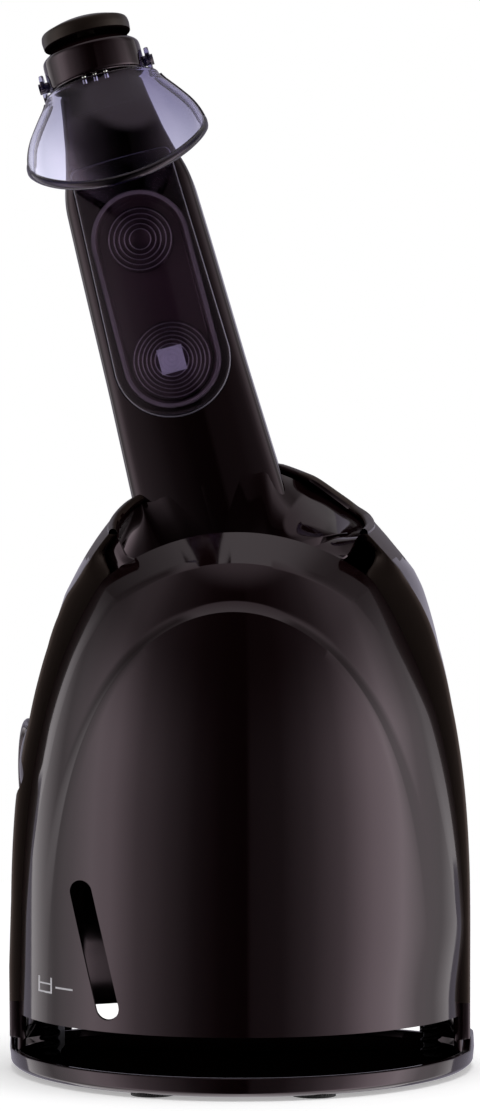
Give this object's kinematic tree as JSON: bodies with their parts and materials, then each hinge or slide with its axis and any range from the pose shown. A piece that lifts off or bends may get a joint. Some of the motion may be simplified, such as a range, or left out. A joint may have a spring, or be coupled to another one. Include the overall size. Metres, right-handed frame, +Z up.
{
  "type": "shaver cleaning station",
  "caption": "Arched free-standing cleaning station: a leaning lit arm over a wash bowl, a sprung lift-up housing on a base dish, and a hinged smoked hood.",
  "frame": {"origin": "middle of the base dish's footprint, on the table", "axes": "+Z up, -Y towards the user (front shell), +X to the user's right"},
  "size_m": [0.134, 0.118, 0.3061],
  "materials": {
    "gloss_black": "high gloss",
    "satin_black": "satin",
    "matte_black": "matte moulded",
    "smoked_clear": "clear moulded, smoked violet",
    "foot_rubber": "matte",
    "spring_steel": "drawn",
    "tube_plastic": "matte",
    "board": "coated board",
    "contact_metal": "plated",
    "light_white": "clear lit"
  },
  "bodies": {
    "base": {"base_tray": "gloss_black", "rubber_feet": "foot_rubber", "guide_column_left": "matte_black", "guide_column_right": "matte_black", "lift_spring_left": "spring_steel", "lift_spring_right": "spring_steel"},
    "housing": {"chassis": "matte_black", "front_shell": "gloss_black", "rear_housing": "gloss_black", "wash_bowl": "gloss_black", "drain_seal": "foot_rubber", "drain_tube": "tube_plastic", "drain_spike": "matte_black", "pump_housing": "matte_black", "pump_cover": "matte_black", "pump_motor": "spring_steel", "intake_spike": "matte_black", "riser_tube": "tube_plastic", "main_board": "board", "board_parts": "matte_black", "power_socket": "matte_black", "socket_pins": "contact_metal", "lift_button_bezel": "gloss_black", "lift_button_spring": "spring_steel", "arm_front": "gloss_black", "arm_back": "gloss_black", "arm_screws": "spring_steel", "smoked_window": "smoked_clear", "window_frame": "matte_black", "upper_lens": "smoked_clear", "lower_lens": "smoked_clear", "light_guide": "light_white", "light_board": "board", "status_lamps": "light_white", "collar": "gloss_black", "contact_block": "matte_black", "start_spring": "spring_steel", "start_switch": "matte_black", "hinge_pins": "smoked_clear", "housing_screws": "spring_steel", "contact_spring_left": "spring_steel", "contact_spring_middle": "spring_steel", "contact_spring_right": "spring_steel"},
    "lift_button": {"lift_button": "gloss_black", "latch": "matte_black"},
    "start_button": {"start_button": "satin_black"},
    "contact_left": {"contact_pin_left": "contact_metal"},
    "contact_middle": {"contact_pin_middle": "contact_metal"},
    "contact_right": {"contact_pin_right": "contact_metal"},
    "hood": {"hood": "smoked_clear"},
    "pump_rotor": {"impeller": "tube_plastic", "pump_shaft": "spring_steel"}
  },
  "joints": [
    {"name": "housing_lift", "type": "slide", "parent": "base", "child": "housing", "axis": [0, 0, 1], "range_m": [0, 0.042], "deforming": ["lift_spring_left", "lift_spring_right"]},
    {"name": "lift_button_press", "type": "slide", "parent": "housing", "child": "lift_button", "axis": [0.9781, 0.2079, 0], "range_m": [0, 0.0025], "stiffness_N_per_m": 500, "springref_m": -0.002, "deforming": ["lift_button_spring"]},
    {"name": "start_button_press", "type": "slide", "parent": "housing", "child": "start_button", "axis": [0.2578, -0.0872, -0.9623], "range_m": [0, 0.0015], "stiffness_N_per_m": 500, "springref_m": -0.002, "deforming": ["start_spring"]},
    {"name": "hood_hinge", "type": "hinge", "parent": "housing", "child": "hood", "pos_m": [-0.04346, 0.03049, 0.28829], "axis": [-0.9659, 0, -0.2588], "range_deg": [0, 30]},
    {"name": "pump_spin", "type": "hinge", "parent": "housing", "child": "pump_rotor", "pos_m": [0.022, -0.002, 0.07], "axis": [0, 0, 1], "continuous": true},
    {"name": "contact_press_left", "type": "slide", "parent": "housing", "child": "contact_left", "axis": [-0.2578, 0.0872, 0.9623], "range_m": [0, 0.0012], "stiffness_N_per_m": 150, "springref_m": -0.001, "deforming": ["contact_spring_left"]},
    {"name": "contact_press_middle", "type": "slide", "parent": "housing", "child": "contact_middle", "axis": [-0.2578, 0.0872, 0.9623], "range_m": [0, 0.0012], "stiffness_N_per_m": 150, "springref_m": -0.001, "deforming": ["contact_spring_middle"]},
    {"name": "contact_press_right", "type": "slide", "parent": "housing", "child": "contact_right", "axis": [-0.2578, 0.0872, 0.9623], "range_m": [0, 0.0012], "stiffness_N_per_m": 150, "springref_m": -0.001, "deforming": ["contact_spring_right"]}
  ]
}
